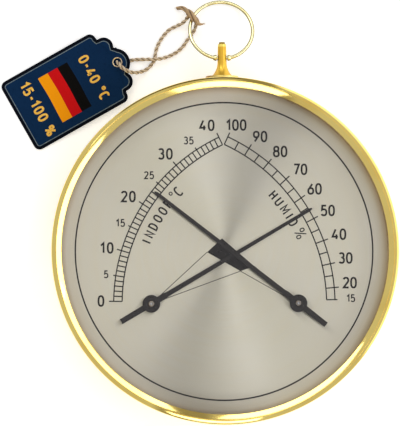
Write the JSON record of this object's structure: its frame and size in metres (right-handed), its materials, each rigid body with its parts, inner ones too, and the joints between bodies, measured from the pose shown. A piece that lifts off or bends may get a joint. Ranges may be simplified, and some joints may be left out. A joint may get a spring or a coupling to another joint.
{
  "type": "dial thermo-hygrometer",
  "caption": "Round wall thermo-hygrometer: a gold drum case with glass, crossing temperature and humidity pointers, a hanging ring on a stud and a swing tag on twine.",
  "frame": {"origin": "centre of the back face of the case; z = 0 is the surface that the object lies on", "axes": "+Z out of the dial towards the reader, +Y from the dial's centre to the hanging ring, +X to the reader's right"},
  "size_m": [0.1479, 0.1608, 0.0279],
  "materials": {
    "gold_case": "polished gold-coloured lacquered metal with fine wear",
    "inner_brass": "plain turned or stamped brass, unpolished",
    "gasket_rubber": "matt black rubber",
    "front_glass": "clear flat glass",
    "dial_sheet": "brushed champagne-silver sheet",
    "dial_ink": "dark brown printed ink",
    "plain_steel": "bright turned steel",
    "copper_strip": "rolled bimetal strip, dull",
    "coated_strip": "rolled metal strip with a moisture-sensitive coat",
    "pointer_black": "satin black paint",
    "collet_nickel": "bright nickel plate",
    "tag_card": "stiff card printed dark blue with three stripes",
    "twine": "two-ply jute twine"
  },
  "bodies": {
    "root": {"case_drum": "gold_case", "bezel": "gold_case", "lens_gasket": "gasket_rubber", "glass_lens": "front_glass", "spacer_ring": "inner_brass", "dial_plate": "dial_sheet", "dial_print": "dial_ink", "dial_seat_ring": "inner_brass", "back_cover": "gold_case", "cover_brackets": "inner_brass", "cover_screws": "plain_steel", "hanger_stud": "gold_case", "stud_rosette": "gold_case", "stud_washer": "plain_steel", "stud_nut": "plain_steel", "swing_tag": "tag_card", "tag_eyelet": "gold_case", "tag_twine": "twine", "thermo_bush": "inner_brass", "thermo_pillars": "inner_brass", "thermo_bridge": "inner_brass", "thermo_bridge_screws": "plain_steel", "hygro_bush": "inner_brass", "hygro_pillars": "inner_brass", "hygro_bridge": "inner_brass", "hygro_bridge_screws": "plain_steel"},
    "ring": {"hanging_ring": "gold_case", "twine_knot": "twine"},
    "thermo_trim": {"thermo_adjuster": "plain_steel", "thermo_coil": "copper_strip"},
    "thermo_movement": {"thermo_arbor": "plain_steel", "thermo_pointer": "pointer_black", "thermo_hub": "pointer_black", "thermo_collet": "collet_nickel"},
    "hygro_trim": {"hygro_adjuster": "plain_steel", "hygro_coil": "coated_strip"},
    "hygro_movement": {"hygro_arbor": "plain_steel", "hygro_pointer": "pointer_black", "hygro_hub": "pointer_black", "hygro_collet": "collet_nickel"}
  },
  "joints": [
    {"name": "thermo_calibration", "type": "hinge", "parent": "root", "child": "thermo_trim", "pos_m": [0.0275, -0.01965, 0.0107], "axis": [0, 0, -1], "range_deg": [-3, 3]},
    {"name": "thermo_pointer_turn", "type": "hinge", "parent": "thermo_trim", "child": "thermo_movement", "pos_m": [0.0275, -0.01965, 0.0221], "axis": [0, 0, -1], "range_deg": [-37.1, 26.9], "stiffness_Nm_per_rad": 0.004, "deforming": ["thermo_coil"]},
    {"name": "hygro_calibration", "type": "hinge", "parent": "root", "child": "hygro_trim", "pos_m": [-0.0275, -0.01965, 0.0107], "axis": [0, 0, 1], "range_deg": [-3, 3]},
    {"name": "hygro_pointer_turn", "type": "hinge", "parent": "hygro_trim", "child": "hygro_movement", "pos_m": [-0.0275, -0.01965, 0.0202], "axis": [0, 0, 1], "range_deg": [-26.1, 34.6], "stiffness_Nm_per_rad": 0.004, "deforming": ["hygro_coil"]},
    {"name": "ring_swing", "type": "hinge", "parent": "root", "child": "ring", "pos_m": [0, 0.0733, 0.0095], "axis": [1, 0, 0], "range_deg": [-90, 130], "deforming": ["tag_twine"]}
  ]
}
